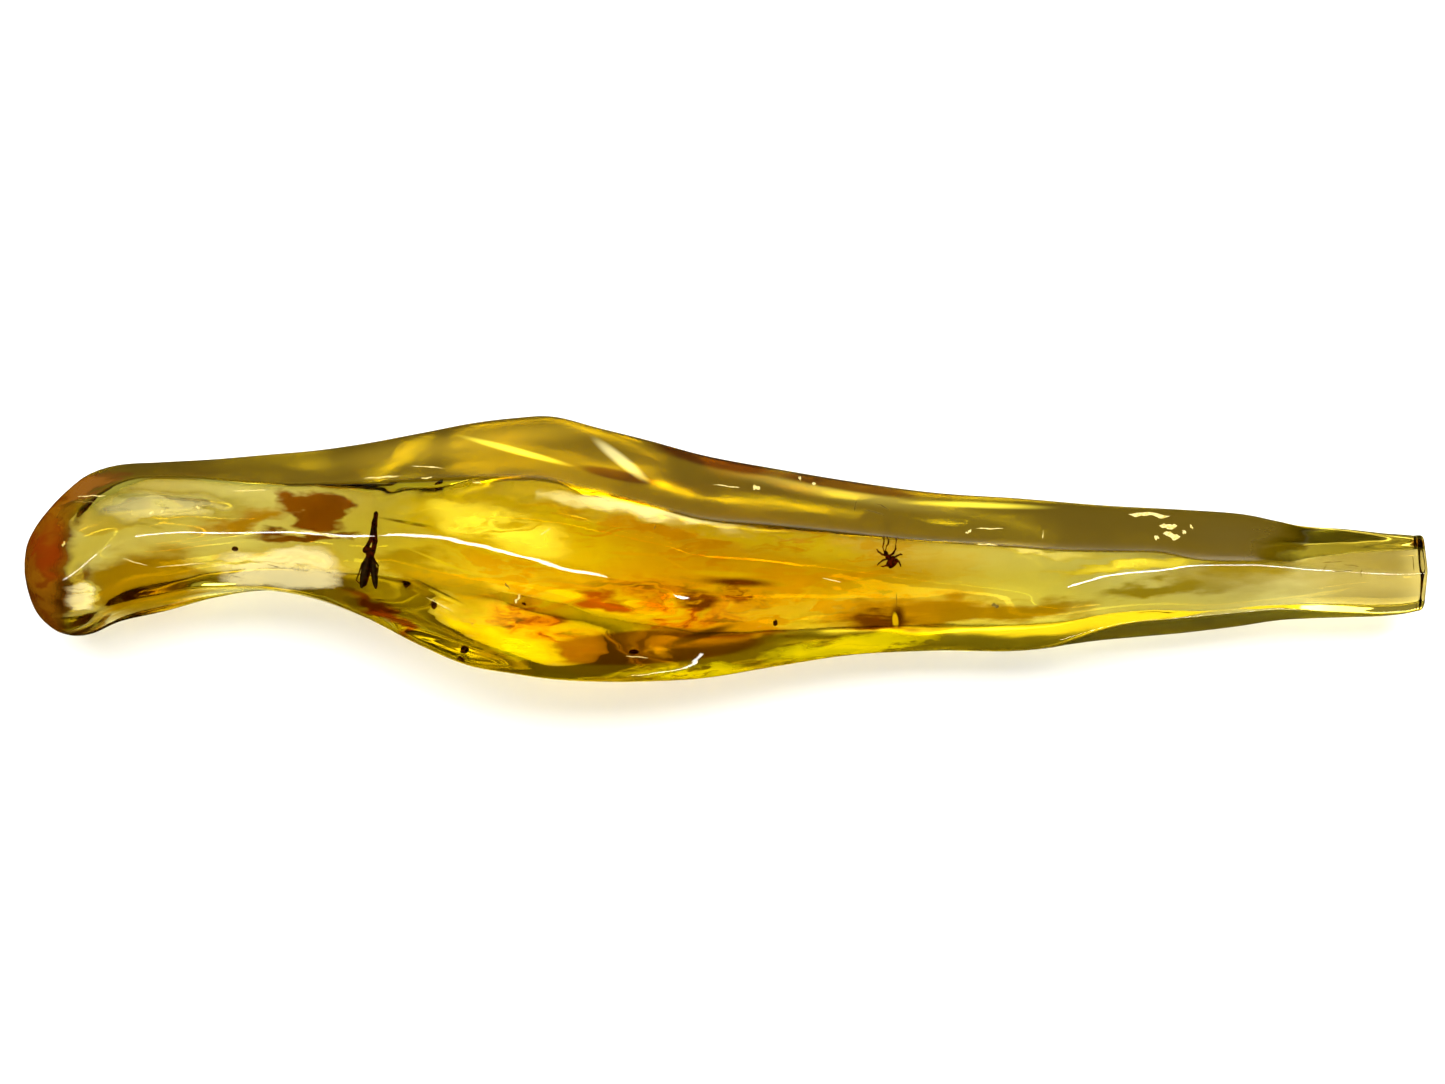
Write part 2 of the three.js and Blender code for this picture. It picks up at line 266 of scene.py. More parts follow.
def section(x):
    """The faceted outline at x, for a stone of unit size, and how far each point is on each facet."""
    facets = [(math.radians(along(faces, x)), along(cut, x)) for faces, cut in FACETS]
    points, shares = [], []
    for step in range(GIRTH_STEPS):
        angle = 2 * math.pi * step / GIRTH_STEPS
        pulls = [max(math.cos(angle - faces) / cut, 0) ** RIDGE_SHARPNESS for faces, cut in facets]
        shares.append([pull / sum(pulls) for pull in pulls])
        reach = sum(pulls) ** (-1 / RIDGE_SHARPNESS)
        for place, faces, length, spread, depth in HOLLOWS:
            aside = math.remainder(angle - math.radians(faces), 2 * math.pi) / math.radians(spread)
            reach *= 1 - depth * math.exp(-((x - place) / length) ** 2 - aside ** 2)
        points.append((reach * math.cos(angle), reach * math.sin(angle)))
    return points, shares


def ring(share):
    """One ring of the stone's skin: the outline stretched to the width and height there."""
    x, far, near, crest, under = through(STATIONS, share)
    outline, shares = section(x)
    across = [y for y, z in outline]
    upward = [z for y, z in outline]
    wide = (far - near) / (max(across) - min(across))
    high = (crest - under) / (max(upward) - min(upward))
    x = min(x, HALF_LENGTH)
    places = []
    for y, z in outline:
        height = max(under + (z - min(upward)) * high, 0)
        places.append(Vector((x, near + (y - min(across)) * wide, height)) * MM)
    return list(zip(places, shares))


skin = bmesh.new()
bmesh.ops.create_uvsphere(skin, u_segments=GIRTH_STEPS, v_segments=LENGTH_STEPS, radius=1)
rings = [ring(row / LENGTH_STEPS) for row in range(LENGTH_STEPS + 1)]
on_facet = {name: skin.verts.layers.float.new(name) for name in SHOWN_FACETS}
for corner in skin.verts:
    row = round(math.acos(max(min(corner.co.z, 1), -1)) / math.pi * LENGTH_STEPS)
    step = round(math.atan2(corner.co.y, corner.co.x) / (2 * math.pi) * GIRTH_STEPS) % GIRTH_STEPS
    corner.co, shares = rings[row][step]
    for name, layer in on_facet.items():
        corner[layer] = sum(shares[i] for i in SHOWN_FACETS[name])
if skin.calc_volume(signed=True) < 0:
    bmesh.ops.reverse_faces(skin, faces=skin.faces)

# The resin itself is lemon yellow and hardly darkens. Thin layers in and on it tint it gold and brown,
# each a sheet of colour that light crosses as it enters or leaves. The olive layers on the far band and
# lower strip are painted shade, and the glow patches, pale lines and glints are painted light. Every
# layer below is an egg-shaped patch: its colour, middle, half lengths in millimetres, turn in degrees,
# and how much of its depth the rim fades over. The films wander with the flow, and the lines and
# painted glints lie where they are given.
FILMS = [
    ("#fadc38", (-1.5, -1, 14), (27, 9, 9), 0, 0.9),
    ("#f6d828", (7, -1.8, 12), (15, 3.0, 6), 0, 0.7),
    # The two pale lemon films are painted light: brighter zones where the crown glows.
    ("#fff65c", (-14.5, 1.4, 12), (9.5, 3.0, 5), -12, 0.4),
    ("#fff65c", (3, 1.0, 12), (11, 1.5, 5), -13, 0.6),
    ("#f8c020", (-6, -6, 9), (12, 4.4, 8), 2, 0.8),
    ("#d2a81c", (13, -4.6, 9), (9, 1.5, 8), 3, 0.5),
    ("#c6a418", (-41, -2.8, 9), (5.8, 3.6, 9), 9, 0.5),
    ("#c0ae48", (31, -2.9, 9), (6, 0.9, 6), 4, 0.6),
    ("#d2a42c", (-34, 2.1, 11), (3.8, 1.1, 5), 8, 0.5),
    ("#a2640c", (-28.9, 2.9, 11), (3.0, 1.7, 5), -8, 0.3),
    ("#93600c", (-30.2, 0.9, 11), (5.2, 0.6, 5), 2, 0.5),
    ("#c06414", (-24.3, -4.5, 8), (4.4, 0.9, 6), -33, 0.5),
    ("#7a420a", (0.9, -3.3, 9), (3.4, 0.8, 6), -3, 0.5),
    ("#d89a14", (-1.8, -6.4, 9), (6.2, 1.2, 6), 5, 0.4),
    ("#7a4a0a", (10.8, -5.0, 9), (3.2, 0.9, 6), 4, 0.6),
    ("#b8a23c", (37, -1, 9), (9, 3.2, 6), 0, 0.8),
    ("#c09c14", (20, -4.4, 9), (8, 1.2, 8), 3, 0.6),
    ("#e2d8b4", (48, -1, 7), (10, 9, 9), 0, 0.6),
    ("#d0bc58", (-20, -2.3, 10), (5.8, 2.0, 8), -24, 0.5),
    ("#fff6d0", (-45.8, -3.3, 9), (1.6, 1.4, 6), 10, 0.2),
    ("#f4e6b0", (-44.2, 1.9, 9), (2.8, 1.2, 6), 4, 0.3),
]
# Lines and small marks. The pale yellow ones are painted light: bright edges of light across the belly
# and crown, a bright strip along the lower belly, and the bright lens of an air bubble. The darker gold
# and brown ones are lines and marks, with a brown plume round the bubble.
MARKS_AND_PAINTED_GLINTS = [
    ("#7a5408", (-21.5, 1.7, 12), (3.4, 0.16, 3), -10, 0.7),
    ("#5c3204", (12.2, -4.9, 9), (0.75, 1.4, 6), 0, 0.8),
    ("#ffe94a", (12.05, -5.1, 9), (0.26, 0.72, 6), 8, 0.4),
    ("#8a5a12", (49.5, 0.4, 6), (0.8, 0.5, 5), 0, 0.6),
    ("#fff23c", (-5.0, -7.1, 9), (9.4, 1.7, 6), 3, 0.3),
    ("#c08c1c", (-5.6, -6.9, 9), (9.2, 1.4, 6), 3, 0.2),
    ("#fff8b0", (-19.9, -0.9, 12), (3.4, 0.13, 6), -22, 0.7),
    ("#fff8b0", (-20.4, -3.1, 10), (3.0, 0.17, 8), -24, 0.7),
    ("#6a5a10", (-20.2, -2.9, 10), (2.6, 0.11, 8), -26, 0.7),
    ("#6e5008", (-1.8, -6.1, 9), (3.4, 0.42, 6), 17, 0.6),
    ("#ffe030", (-6.4, -0.35, 11), (2.8, 0.2, 6), -3, 0.7),
    ("#ffe030", (-3.6, -1.0, 11), (1.7, 0.14, 6), -28, 0.7),
    ("#fff03c", (-0.2, -1.75, 11), (3.6, 0.3, 6), -3, 0.7),
    ("#7a4608", (0.9, -2.35, 11), (3.6, 0.42, 6), -3, 0.8),
]
CURDS = [
    ("#fff23c", (-8.3, -4.6, 10), (4.2, 2.6, 6), 0, 0.5),
    ("#c26a0a", (-8.0, -4.0, 10), (2.6, 1.1, 6), -8, 0.4),
    ("#7c4a08", (-2.2, -3.6, 10), (2.6, 1.1, 6), -20, 0.6),
]
# Streaks laid only where the far band's shade is painted: the olive ones deepen that painted shade, the
# yellow and pale ones are painted light, and the dark brown ones are brown lines.
BAND_SHADE_AND_LIGHT_STREAKS = [
    ("#94780c", (-18, 7.4, 10), (16, 1.3, 8), 8, 1.0),
    ("#9c8a34", (8, 4.2, 8), (11, 1.0, 8), -10, 1.0),
    ("#fff04a", (-14.8, 6.9, 10), (4.8, 0.3, 6), -15, 0.8),
    ("#3c1e00", (-7.4, 5.15, 11), (3.4, 0.46, 4), -11, 0.4),
    ("#cfc48a", (-7.4, 6.3, 10), (2.9, 0.5, 6), -38, 0.7),
    ("#3e1e00", (-0.8, 6.35, 8), (5.4, 0.8, 6), -13, 0.4),
    ("#422402", (8.6, 4.5, 8), (7.5, 0.55, 6), -9, 0.5),
    ("#ffe838", (18, 3.1, 8), (6.4, 0.3, 5), -2, 0.8),
]
# Painted light: pale and lemon patches where light glows in the resin, along the lit lower rim of the
# belly, on bright zones of the crown and neck, and in the thin window of the round end.
PAINTED_LIGHT_PATCHES = [
    ("#ffe838", (-15.5, 1.3, 12), (9.5, 2.3, 5), -14, 0.9),
    ("#fff2a0", (-6.0, 2.7, 12), (15, 1.0, 5), -9, 1.0),
    ("#ffee84", (22, 0.0, 11), (9.0, 0.8, 5), -4, 1.0),
    ("#f4e4a4", (-31.2, -1.5, 9), (6.4, 2.0, 6), 2, 0.5),
    ("#c8ba70", (-39.5, 3.0, 11), (8.2, 1.8, 5), 0, 0.7),
    ("#f8e8a8", (-45.8, -3.4, 8), (1.6, 1.35, 6), 0, 0.5),
    ("#ffe604", (-15.6, -6.4, 7), (6.6, 1.7, 7), -24, 0.6),
    ("#ffe604", (-4.5, -8.7, 6), (11, 1.0, 6), 0, 0.6),
    ("#ffe604", (8.5, -7.0, 6), (9.0, 1.1, 6), 9, 0.6),
    ("#ffe63c", (29, -1.2, 10), (9.0, 0.6, 5), 5, 1.0),
]
# The belly's swirl, as places and colours on a ramp, and where it and the heart's streaks reach.
SWIRL = [(0.38, "#fff24a"), (0.47, "#ffd428"), (0.54, "#f09a1c"), (0.6, "#c2640a"), (0.67, "#7a4208")]
SWIRL_REACH = ((-8.5, -5.0, 9), (13, 4.2, 8), 3, 0.5)
HEART_REACH = ((-1, -2, 13), (26, 8, 9), 0, 0.6)
# The painted shade on the far band and lower strip, each with its facet first, and the weathered crust.
PAINTED_SHADE_FACETS = [
    ("far_slope", "#5e4a02", (-2, 5, 8), (48, 14, 12), 0, 0.1),
    ("near_side", "#4e4402", (38, -7, 6), (20, 9, 12), 0, 0.2),
]
FACET_EDGE = (0.35, 0.65)
CRUST_END = ((-52.4, 0.4, 6), (7.4, 14, 14), 0, 0.36)
CRUST_SHOULDER = ((-45.4, 4.4, 8), (3.4, 1.3, 8), 18, 0.6)
CRUST_HEART = ("#642402", (-47.6, -0.4, 8), (2.6, 2.8, 8), 20, 0.8)
# How much of the surface is solid colour instead of clear resin where light is painted in glow
# patches, and where shade is painted on the far band and lower strip.
PAINTED_LIGHT_OPACITY = 0.45
PAINTED_SHADE_OPACITY = 0.5


def patch(nodes, place, middle, halves, turn, rim):
    """How strongly a soft egg-shaped patch covers each point, from 0 to 1."""
    inside = add(nodes, "ShaderNodeMapping", {"Vector": place}, vector_type="TEXTURE",
                 Location=middle, Rotation=(0, 0, math.radians(turn)), Scale=halves)
    depth = add(nodes, "ShaderNodeTexGradient", {"Vector": inside.outputs[0]}, gradient_type="SPHERICAL")
    return eased(nodes, depth.outputs["Fac"], 0, rim)


def eased(nodes, value, low, high):
    """A share that goes smoothly from 0 where the value is low to 1 where it is high."""
    return add(nodes, "ShaderNodeMapRange", {"Value": value}, interpolation_type="SMOOTHSTEP",
               From_Min=low, From_Max=high).outputs["Result"]


def product(nodes, first, second):
    return add(nodes, "ShaderNodeMath", {0: first, 1: second}, operation="MULTIPLY").outputs[0]


def highest(nodes, first, *others):
    """The largest of several shares at each point."""
    for share in others:
        first = add(nodes, "ShaderNodeMath", {0: first, 1: share}, operation="MAXIMUM").outputs[0]
    return first


def ranged(nodes, value, **limits):
    """The value, held within one range and mapped in a straight line to another."""
    return add(nodes, "ShaderNodeMapRange", {"Value": value}, **limits).outputs["Result"]


def blended(nodes, share, first, second):
    """One colour that turns into another by a share."""
    mixed = add(nodes, "ShaderNodeMixRGB", {"Fac": share, "Color1": first, "Color2": second})
    return mixed.outputs["Color"]


def laid(nodes, under, film, share):
    """The colours under a film, with the film's own colour over them by its share."""
    return add(nodes, "ShaderNodeMixRGB", {"Fac": share, "Color1": under},
               Color2=linear(film)).outputs["Color"]


def layered(nodes, under, layers, place):
    """The colours under a list of soft layers, each laid over the ones before it."""
    for film, *shape in layers:
        under = laid(nodes, under, film, patch(nodes, place, *shape))
    return under


def drawn_noise(nodes, place, stretch, **settings):
    """Noise in a place stretched by these scales, so that it runs in streaks along X."""
    drawn = add(nodes, "ShaderNodeMapping", {"Vector": place}, Scale=stretch)
    return add(nodes, "ShaderNodeTexNoise", {"Vector": drawn.outputs[0]}, Scale=1.0, **settings)


copal, nodes = new_material("polished_copal_resin")
spot = add(nodes, "ShaderNodeTexCoord").outputs["Object"]
millimetres = add(nodes, "ShaderNodeMapping", {"Vector": spot}, Scale=(1000, 1000, 1000)).outputs[0]
wander = drawn_noise(nodes, spot, (250, 800, 800), Detail=3.0)
bend = add(nodes, "ShaderNodeMapping", {"Vector": wander.outputs["Color"]},
           Scale=(6, 3, 3), Location=(-3, -1.5, -1.5)).outputs[0]
flow = add(nodes, "ShaderNodeVectorMath", {0: bend, 1: millimetres}, operation="ADD").outputs[0]
# Drift takes most of the resin's wandering flow, and calm takes less than half of it.
between = {"Color1": millimetres, "Color2": flow}
drift = add(nodes, "ShaderNodeMixRGB", between, Fac=0.8).outputs["Color"]
calm = add(nodes, "ShaderNodeMixRGB", between, Fac=0.4).outputs["Color"]

tint = add(nodes, "ShaderNodeRGB").outputs[0]
tint.default_value = linear("#fffdf2")
tint = layered(nodes, tint, FILMS, flow)

curls = drawn_noise(nodes, flow, (0.2, 0.42, 0.42), Detail=4.0, Distortion=1.8)
swirl = add(nodes, "ShaderNodeValToRGB", {"Fac": curls.outputs["Fac"]})
stops = swirl.color_ramp.elements
for stop, (place, film) in zip([stops[0], stops[1]] + [stops.new(1) for _ in SWIRL[2:]], SWIRL):
    stop.position = place
    stop.color = linear(film)
tint = blended(nodes, patch(nodes, flow, *SWIRL_REACH), tint, swirl.outputs["Color"])
tint = layered(nodes, tint, CURDS, flow)

streaks = drawn_noise(nodes, flow, (0.08, 0.9, 0.9), Detail=3.0, Distortion=0.8).outputs["Fac"]
threads = product(nodes, patch(nodes, flow, *HEART_REACH), eased(nodes, streaks, 0.48, 0.62))
tint = laid(nodes, tint, "#f6ca18", threads)
# Painted light and marks: the pale lines and the bubble's bright lens, with the brown lines.
tint = layered(nodes, tint, MARKS_AND_PAINTED_GLINTS, millimetres)
# The shader tints light by the square root of its colour each time it crosses, so this is squared.
tint = add(nodes, "ShaderNodeGamma", {"Color": tint}, Gamma=2.0).outputs[0]

# Painted light: the glow patches are laid over the tint, in streaks.
drawn = eased(nodes, streaks, 0.22, 0.52)
painted_light_masks = []
for film, *shape in PAINTED_LIGHT_PATCHES:
    painted_light_masks.append(product(nodes, drawn, patch(nodes, drift, *shape)))
    tint = laid(nodes, tint, film, eased(nodes, painted_light_masks[-1], 0, 0.4))

# Painted shade: the far band and lower strip are darkened to dull olive over the resin's tint.
painted_shade = []
for facet, film, *shape in PAINTED_SHADE_FACETS:
    facet = add(nodes, "ShaderNodeAttribute", attribute_name=facet).outputs["Fac"]
    painted_shade.append(product(nodes, eased(nodes, facet, *FACET_EDGE), patch(nodes, flow, *shape)))
    tint = laid(nodes, tint, film, eased(nodes, painted_shade[-1], 0, 0.3))
band = painted_shade[0]
painted_shade = highest(nodes, *painted_shade)
# Streaks of painted shade and painted light, and brown lines, on the shaded far band.
for film, *shape in BAND_SHADE_AND_LIGHT_STREAKS:
    tint = laid(nodes, tint, film, product(nodes, patch(nodes, millimetres, *shape), band))

crust = highest(nodes, patch(nodes, calm, *CRUST_END), patch(nodes, flow, *CRUST_SHOULDER))
clouds = add(nodes, "ShaderNodeTexNoise", {"Vector": flow}, Scale=0.35, Detail=3.0, Distortion=0.6)
browned = add(nodes, "ShaderNodeMixRGB", {"Fac": eased(nodes, clouds.outputs["Fac"], 0.4, 0.62)},
              Color1=linear("#6c4004"), Color2=linear("#5a2a02")).outputs["Color"]
browned = layered(nodes, browned, [CRUST_HEART], flow)
colour = blended(nodes, eased(nodes, crust, 0, 0.4), tint, browned)

# Where shade is painted, part of the surface is solid olive colour instead of clear resin.
shade_cover = ranged(nodes, painted_shade, From_Min=0.12, To_Max=PAINTED_SHADE_OPACITY)
# Where light is painted, part of the surface is solid pale colour, so that the glow patches shine.
painted_light_cover = ranged(nodes, highest(nodes, *painted_light_masks), From_Min=0.3, To_Max=PAINTED_LIGHT_OPACITY)
veil = highest(nodes, eased(nodes, crust, 0.3, 1), shade_cover, painted_light_cover)
clear = ranged(nodes, veil, To_Min=1.0, To_Max=0.0)
haze = ranged(nodes, painted_shade, From_Min=0.5, To_Min=0.02, To_Max=0.28)

ripple = drawn_noise(nodes, millimetres, (0.22, 0.6, 0.6), Detail=1.0)
rubbed = add(nodes, "ShaderNodeBump", {"Height": ripple.outputs["Fac"]}, Strength=0.5, Distance=0.00008)
resin = add(nodes, "ShaderNodeBsdfPrincipled",
            {"Base Color": colour, "Roughness": haze, "Transmission Weight": clear,
             "Normal": rubbed.outputs["Normal"]}, IOR=1.54)
depths = add(nodes, "ShaderNodeVolumeAbsorption", Color=(0.98, 0.93, 0.0, 1), Density=125.0)
add(nodes, "ShaderNodeOutputMaterial", {"Surface": resin.outputs["BSDF"], "Volume": depths.outputs[0]})
stone = finished(skin, "copal", copal)
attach(stone, "root")
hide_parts("copal_upper", "copal_lower")


# The nicks and scratches. Handling has chipped and scored the gloss here and there, mostly along the
# ridges and on the far slope: thin bruised flakes that catch the light, and a few dirt-filled scores.
# Each has its x and y, its length and width in millimetres, and its turn in degrees.
NICK_LIFT = 0.012
BRUISES = [
    (-24.1, 5.02, 2.6, 0.13, 2), (-20.9, 5.72, 2.3, 0.09, -5), (-20.9, 4.95, 0.8, 0.12, 2),
    (-17.3, 4.6, 0.7, 0.1, -8), (0.1, 4.4, 1.9, 0.1, -7), (2.2, 4.3, 0.5, 0.42, 30),
    (5.3, 5.0, 0.2, 0.28, 10), (6.3, 4.6, 0.3, 0.24, 0), (18.7, 1.42, 2.0, 0.11, 0),
    (17.2, 1.2, 0.5, 0.2, 30),
    (18.5, 0.28, 1.5, 0.11, 0), (30.2, 2.42, 3.0, 0.3, -3), (31.5, 1.62, 1.3, 0.42, -4),
    (31.7, 0.98, 1.25, 0.5, -10), (30.6, 0.75, 0.35, 0.36, 40), (32.6, 1.2, 0.3, 0.3, 20),
    (33.2, 1.55, 0.42, 0.16, -60), (-14.5, -3.5, 0.75, 0.18, 70), (-20.0, -3.9, 2.2, 0.1, -28),
    (-44.8, 3.72, 2.2, 0.08, 1), (-40.4, 2.5, 0.35, 0.2, 10), (-39.7, 2.62, 0.25, 0.2, 60),
    (-37.2, 2.9, 0.3, 0.16, -20), (-41.6, -0.95, 1.8, 0.09, -16), (-38.4, -1.15, 3.6, 0.08, 5),
    (-28.2, 1.02, 3.6, 0.13, -9), (-46.6, 0.35, 0.4, 0.2, 50),
    (22.5, 1.0, 0.6, 0.08, 80), (-33.5, 4.1, 2.4, 0.09, 3),
    (-6.2, -7.6, 1.6, 0.09, -6), (7.5, -2.2, 1.4, 0.08, -12), (-12.5, 1.2, 0.9, 0.07, 35),
]
SCORES = [
    (10.6, 2.55, 1.5, 0.1, -20), (11.2, 2.95, 1.1, 0.08, -28), (9.2, 3.0, 0.8, 0.07, 80),
    (43.2, -0.95, 1.6, 0.08, 4), (44.5, -1.2, 1.1, 0.08, -6), (43.9, -1.6, 1.5, 0.07, 2),
    (45.2, -1.75, 0.5, 0.09, 82), (42.6, -1.35, 0.6, 0.07, 60), (-31.9, -1.22, 1.0, 0.08, -14),
    (48.98, -1.05, 1.15, 0.09, 88), (19.1, -4.0, 0.55, 0.34, -10), (-45.1, 3.3, 2.0, 0.07, -3),
    (-4.9, 1.5, 0.34, 0.08, 60), (-15.2, -2.6, 0.6, 0.14, -60), (12.1, -3.6, 0.9, 0.05, 88),
]
surface = BVHTree.FromPolygons([corner.co for corner in stone.data.vertices],
                               [face.vertices for face in stone.data.polygons])


def laid_on_stone(x, y):
    """The point on the stone's top under x and y, in metres, lifted clear of the gloss."""
    point, normal, face, drop = surface.ray_cast(Vector((x, y, 30)) * MM, Vector((0, 0, -1)))
    return point + normal * NICK_LIFT * MM


def nick(body, x, y, length, width, turn):
    """Adds a thin ragged flake that follows the stone: two wandering edges that meet at its ends."""
    steps = max(6, round(length / 0.12))
    made = bmesh.ops.create_grid(body, x_segments=steps, y_segments=2, size=1)["verts"]
    ahead = Vector((math.cos(math.radians(turn)), math.sin(math.radians(turn))))
    for corner in made:
        along_it, across_it = corner.co.x, corner.co.y
        ragged = 0.75 + 0.9 * noise.noise(Vector((along_it * 2.6 + x, across_it * 1.3 + y, 4.2)))
        half = width / 2 * max(1 - along_it ** 4, 0.04) * max(ragged, 0.25)
        sway = width * 0.7 * noise.noise(Vector((along_it * 1.7 + y, x, 1.7)))
        place = Vector((x, y)) + ahead * along_it * length / 2
        place += ahead.orthogonal() * (across_it * half + sway)
        corner.co = laid_on_stone(place.x, place.y)


def scuffed(name, colour, worn, roughness):
    """Broken resin: a chalky bruise with a granular edge, where the gloss is gone."""
    material, nodes = new_material(name)
    spot = add(nodes, "ShaderNodeTexCoord").outputs["Object"]
    grit = add(nodes, "ShaderNodeTexNoise", {"Vector": spot}, Scale=5000.0, Detail=3.0)
    shade = add(nodes, "ShaderNodeMixRGB", {"Fac": eased(nodes, grit.outputs["Fac"], 0.35, 0.65)},
                Color1=linear(colour), Color2=linear(worn))
    pits = add(nodes, "ShaderNodeBump", {"Height": grit.outputs["Fac"]}, Strength=0.6, Distance=0.00002)
    cover = eased(nodes, grit.outputs["Fac"], 0.22, 0.42)
    flake = add(nodes, "ShaderNodeBsdfPrincipled", {"Base Color": shade.outputs[0], "Alpha": cover,
                                                    "Normal": pits.outputs[0]}, Roughness=roughness)
    add(nodes, "ShaderNodeOutputMaterial", {"Surface": flake.outputs["BSDF"]})
    return material


for name, marks, material in [
    ("bruised_nicks", BRUISES, scuffed("bruised_resin", "#d8c480", "#b09a4c", 0.45)),
    ("dirty_scores", SCORES, scuffed("dirt_in_scores", "#4a3a0c", "#6e5a1c", 0.8)),
]:
    body = bmesh.new()
    for mark in marks:
        nick(body, *mark)
    bmesh.ops.recalc_face_normals(body, faces=body.faces)
    flakes = finished(body, name, material)
    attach(flakes, "root")


# The gnat. A winged gnat hangs head up in the resin, forelegs and feelers stretched out in one dark
# stalk, wings folded down over its long ringed abdomen. Cuticle turned red-black in the resin.
GNAT_PLACE = Vector((-24.7, 0.25, 5.8))
ABDOMEN_RINGS = 7
LEG_SIDES = 8
KNUCKLE = 1.15
GROOVE_DEPTH = 0.16
SEALED_GLOSS = 0.05
STALK = [
    [(0.18, 0.1, 0.05), (0.3, 0.7, 0.1), (0.37, 1.4, 0.1), (0.4, 2.06, 0.1)],
    [(0.25, 0.1, -0.05), (0.45, 0.75, -0.05), (0.48, 1.4, -0.03), (0.52, 2.0, 0)],
    [(-0.3, 0.34, 0.08), (0.1, 0.8, 0.16), (0.3, 1.5, 0.18), (0.46, 2.1, 0.12)],
]
HIND_LEGS = [
    [(-0.25, -0.25, 0.1), (-0.62, -0.75, 0.3), (-1.08, -1.95, 0.1), (-0.68, -2.35, 0)],
    [(0.2, -0.2, -0.2), (0.6, -0.8, -0.4), (0.5, -1.7, -0.5), (0.42, -2.2, -0.5)],
    [(-0.15, -0.2, -0.25), (-0.5, -0.7, -0.5), (-0.55, -1.5, -0.6), (-0.4, -1.9, -0.62)],
]


def lump(body, middle, halves, turn=0, rings=0):
    """Adds an egg-shaped part, long along Y, with grooves round it where it is ringed."""
    made = bmesh.ops.create_uvsphere(body, u_segments=20, v_segments=28, radius=1)["verts"]
    for corner in made:
        groove = 0.5 - 0.5 * math.cos(2 * math.pi * rings * (corner.co.z + 1) / 2)
        corner.co.xy *= 1 - GROOVE_DEPTH * (1 - groove) ** 3 * (rings > 0)
    along_y = Matrix.Rotation(-math.pi / 2, 4, "X")
    stretched = Matrix.Diagonal((*halves, 1))
    placed = Matrix.Translation(middle) @ Matrix.Rotation(math.radians(turn), 4, "Z")
    bmesh.ops.transform(body, matrix=placed @ stretched @ along_y, verts=made)


def limb(body, joints, thick, thin):
    """Adds a leg or feeler: rods that taper from joint to joint, with a knuckle at each."""
    joints = [Vector(joint) for joint in joints]
    for i, (start, end) in enumerate(zip(joints, joints[1:])):
        wide = thick + (thin - thick) * i / (len(joints) - 1)
        narrow = thick + (thin - thick) * (i + 1) / (len(joints) - 1)
        way = end - start
        turn = way.to_track_quat("Z", "X").to_matrix().to_4x4()
        middle = Matrix.Translation((start + end) / 2)
        bmesh.ops.create_cone(body, segments=LEG_SIDES, cap_ends=True, radius1=wide, radius2=narrow * 0.8,
                              depth=way.length, matrix=middle @ turn)
        knuckle = Matrix.Translation(start)
        bmesh.ops.create_icosphere(body, subdivisions=2, radius=wide * KNUCKLE, matrix=knuckle)
    tip = Matrix.Translation(joints[-1])
    bmesh.ops.create_icosphere(body, subdivisions=2, radius=thin, matrix=tip)


def wing(body, root, length, width, turn, lift):
    """Adds a folded wing: a thin blade, narrow at its root and round at its tip, with a slight curl."""
    made = bmesh.ops.create_grid(body, x_segments=10, y_segments=24, size=1)["verts"]
    for corner in made:
        down = (1 - corner.co.y) / 2
        spread = width * math.sin(math.pi * min(down * 0.86 + 0.1, 1)) ** 0.6
        corner.co = Vector((corner.co.x * spread, -down * length, lift * math.cos(corner.co.x * 1.4)))
    blade = list({face for corner in made for face in corner.link_faces})
    solid = bmesh.ops.solidify(body, geom=blade, thickness=0.02)["geom"]
    made = {corner for face in blade for corner in face.verts}
    made |= {corner for corner in solid if isinstance(corner, bmesh.types.BMVert)}
    placed = Matrix.Translation(root) @ Matrix.Rotation(math.radians(turn), 4, "Z")
    bmesh.ops.transform(body, matrix=placed, verts=list(made))


def placed_insect(body, name, place, material):
    bmesh.ops.transform(body, matrix=Matrix.Scale(MM, 4) @ Matrix.Translation(place), verts=body.verts)
    bmesh.ops.recalc_face_normals(body, faces=body.faces)
    return finished(body, name, material)


def cuticle(name, dark, lit, roughness):
    """Insect skin: dark, with redder thin places, and the dull gloss of old lacquer."""
    material, nodes = new_material(name)
    spot = add(nodes, "ShaderNodeTexCoord").outputs["Object"]
    mottle = add(nodes, "ShaderNodeTexNoise", {"Vector": spot}, Scale=4000.0, Detail=3.0)
    colour = add(nodes, "ShaderNodeMixRGB", {"Fac": eased(nodes, mottle.outputs["Fac"], 0.4, 0.7)},
                 Color1=linear(dark), Color2=linear(lit))
    pits = add(nodes, "ShaderNodeBump", {"Height": mottle.outputs["Fac"]}, Strength=0.4, Distance=0.00002)
    shell = add(nodes, "ShaderNodeBsdfPrincipled",
                {"Base Color": colour.outputs[0], "Normal": pits.outputs[0]},
                Roughness=roughness, Specular_IOR_Level=SEALED_GLOSS)
    add(nodes, "ShaderNodeOutputMaterial", {"Surface": shell.outputs["BSDF"]})
    return material


